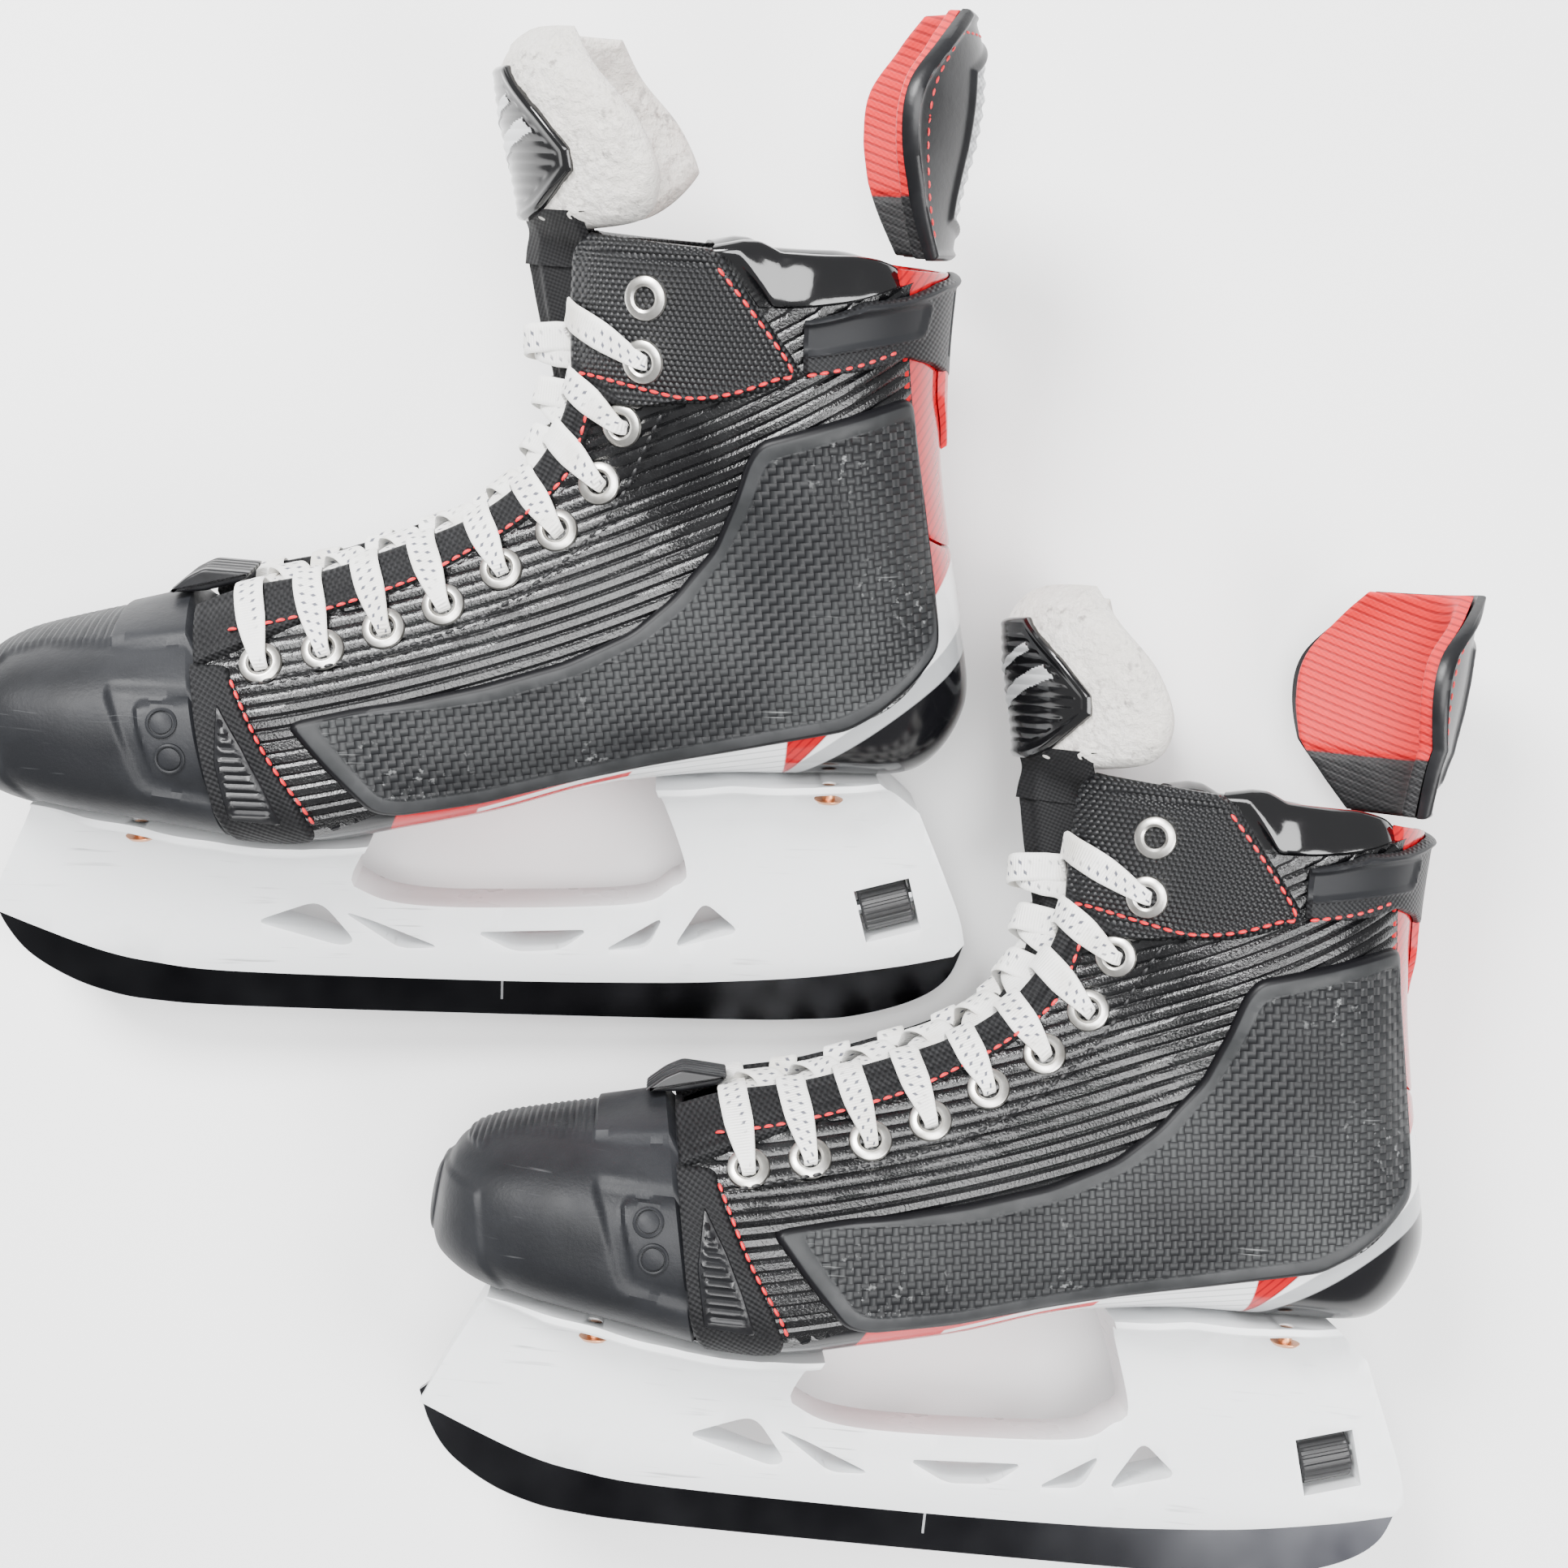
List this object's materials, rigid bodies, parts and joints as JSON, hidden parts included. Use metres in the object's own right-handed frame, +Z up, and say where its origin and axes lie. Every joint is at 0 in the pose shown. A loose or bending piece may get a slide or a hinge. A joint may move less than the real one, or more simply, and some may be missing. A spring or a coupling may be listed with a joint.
{
  "type": "ice hockey skates",
  "caption": "Pair of laced ice hockey skates lying on their sides: hard boots with felt tongues, blade holders and removable steel runners.",
  "frame": {"origin": "on the floor, under the middle of the pair's bounding box", "axes": "+Z up, out of the floor; both skates lie on their sides with their toes towards -X and their cuffs towards +Y; the left skate is nearer -Y, the right skate nearer +Y"},
  "size_m": [0.4365, 0.4486, 0.1214],
  "materials": {
    "shell": "gloss black laminated shell",
    "nylon": "coated woven nylon",
    "sole": "gloss composite with red, white and black stripes",
    "red_trim": "smooth red synthetic",
    "toe_rubber": "matt, scuffed",
    "collar": "glossy padded synthetic",
    "insole": "knitted",
    "tongue_fabric": "woven",
    "lace": "waxed flat braid",
    "felt": "pressed felt",
    "gloss_trim": "gloss, ribbed",
    "red_fabric": "fine ribbed",
    "guard": "moulded, textured",
    "white_plastic": "satin moulded nylon, scuffed",
    "black_steel": "black coated, polished",
    "wheel": "knurled",
    "steel": "plated",
    "copper": "worn copper"
  },
  "bodies": {
    "left_skate": {"left_quarter_medial": "shell", "left_quarter_lateral": "shell", "left_eyestay_medial": "nylon", "left_eyestay_lateral": "nylon", "left_vamp_band_medial": "nylon", "left_vamp_band_lateral": "nylon", "left_outsole": "sole", "left_heel_spine": "red_trim", "left_toe_cap": "toe_rubber", "left_collar_liner": "collar", "left_footbed": "insole", "left_ankle_band": "nylon", "left_tongue_base": "tongue_fabric", "left_tongue_badge": "toe_rubber", "left_lace": "lace", "left_blade_holder": "white_plastic", "left_rivet_front_medial": "copper", "left_rivet_front_lateral": "copper", "left_rivet_rear_medial": "copper", "left_rivet_rear_lateral": "copper"},
    "left_tongue_top": {"left_tongue_felt": "felt", "left_tongue_shell": "gloss_trim"},
    "left_guard": {"left_tendon_guard": "guard", "left_tendon_guard_liner": "red_fabric"},
    "left_wheel": {"left_lock_wheel": "wheel"},
    "left_bolt": {"left_hook_bolt": "steel"},
    "left_blade": {"left_runner": "black_steel"},
    "right_skate": {"right_quarter_medial": "shell", "right_quarter_lateral": "shell", "right_eyestay_medial": "nylon", "right_eyestay_lateral": "nylon", "right_vamp_band_medial": "nylon", "right_vamp_band_lateral": "nylon", "right_outsole": "sole", "right_heel_spine": "red_trim", "right_toe_cap": "toe_rubber", "right_collar_liner": "collar", "right_footbed": "insole", "right_ankle_band": "nylon", "right_tongue_base": "tongue_fabric", "right_tongue_badge": "toe_rubber", "right_lace": "lace", "right_blade_holder": "white_plastic", "right_rivet_front_medial": "copper", "right_rivet_front_lateral": "copper", "right_rivet_rear_medial": "copper", "right_rivet_rear_lateral": "copper"},
    "right_tongue_top": {"right_tongue_felt": "felt", "right_tongue_shell": "gloss_trim"},
    "right_guard": {"right_tendon_guard": "guard", "right_tendon_guard_liner": "red_fabric"},
    "right_wheel": {"right_lock_wheel": "wheel"},
    "right_bolt": {"right_hook_bolt": "steel"},
    "right_blade": {"right_runner": "black_steel"}
  },
  "joints": [
    {"name": "right_skate_lift", "type": "slide", "parent": "left_skate", "child": "right_skate", "axis": [0, 0, 1], "range_m": [0, 0.15]},
    {"name": "left_tongue_hinge", "type": "hinge", "parent": "left_skate", "child": "left_tongue_top", "pos_m": [0.08321, 0.01353, 0.0503], "axis": [0.0491, -0.0319, 0.9983], "range_deg": [-2, 15], "stiffness_Nm_per_rad": 0.6},
    {"name": "left_guard_hinge", "type": "hinge", "parent": "left_skate", "child": "left_guard", "pos_m": [0.20128, 0.0001, 0.04407], "axis": [-0.0491, 0.0319, -0.9983], "range_deg": [-6, 28], "stiffness_Nm_per_rad": 0.8},
    {"name": "left_wheel_turn", "type": "hinge", "parent": "left_skate", "child": "left_wheel", "pos_m": [0.17481, -0.18816, 0.03936], "axis": [0.9835, 0.1755, -0.0427], "range_deg": [0, 540]},
    {"name": "left_bolt_slide", "type": "slide", "parent": "left_skate", "child": "left_bolt", "axis": [-0.9835, -0.1755, 0.0427], "range_m": [0, 0.0016]},
    {"name": "left_blade_slide", "type": "slide", "parent": "left_skate", "child": "left_blade", "axis": [-0.1126, -0.9933, -0.0262], "range_m": [0, 0.02]},
    {"name": "right_tongue_hinge", "type": "hinge", "parent": "right_skate", "child": "right_tongue_top", "pos_m": [-0.05674, 0.16183, 0.07966], "axis": [0.059, -0.2617, 0.9633], "range_deg": [-2, 35], "stiffness_Nm_per_rad": 0.6},
    {"name": "right_guard_hinge", "type": "hinge", "parent": "right_skate", "child": "right_guard", "pos_m": [0.06187, 0.15741, 0.07119], "axis": [-0.059, 0.2617, -0.9633], "range_deg": [-6, 28], "stiffness_Nm_per_rad": 0.8},
    {"name": "right_wheel_turn", "type": "hinge", "parent": "right_skate", "child": "right_wheel", "pos_m": [0.04676, -0.02576, 0.02235], "axis": [0.9708, 0.2399, 0.0057], "range_deg": [0, 540]},
    {"name": "right_bolt_slide", "type": "slide", "parent": "right_skate", "child": "right_bolt", "axis": [-0.9708, -0.2399, -0.0057], "range_m": [0, 0.0016]},
    {"name": "right_blade_slide", "type": "slide", "parent": "right_skate", "child": "right_blade", "axis": [-0.0527, -0.9645, -0.2588], "range_m": [0, 0.02]}
  ],
  "couplings": [
    {"joint": "left_bolt_slide", "follows": "left_wheel_turn", "m_per_rad": 0.000159},
    {"joint": "right_bolt_slide", "follows": "right_wheel_turn", "m_per_rad": 0.000159}
  ]
}
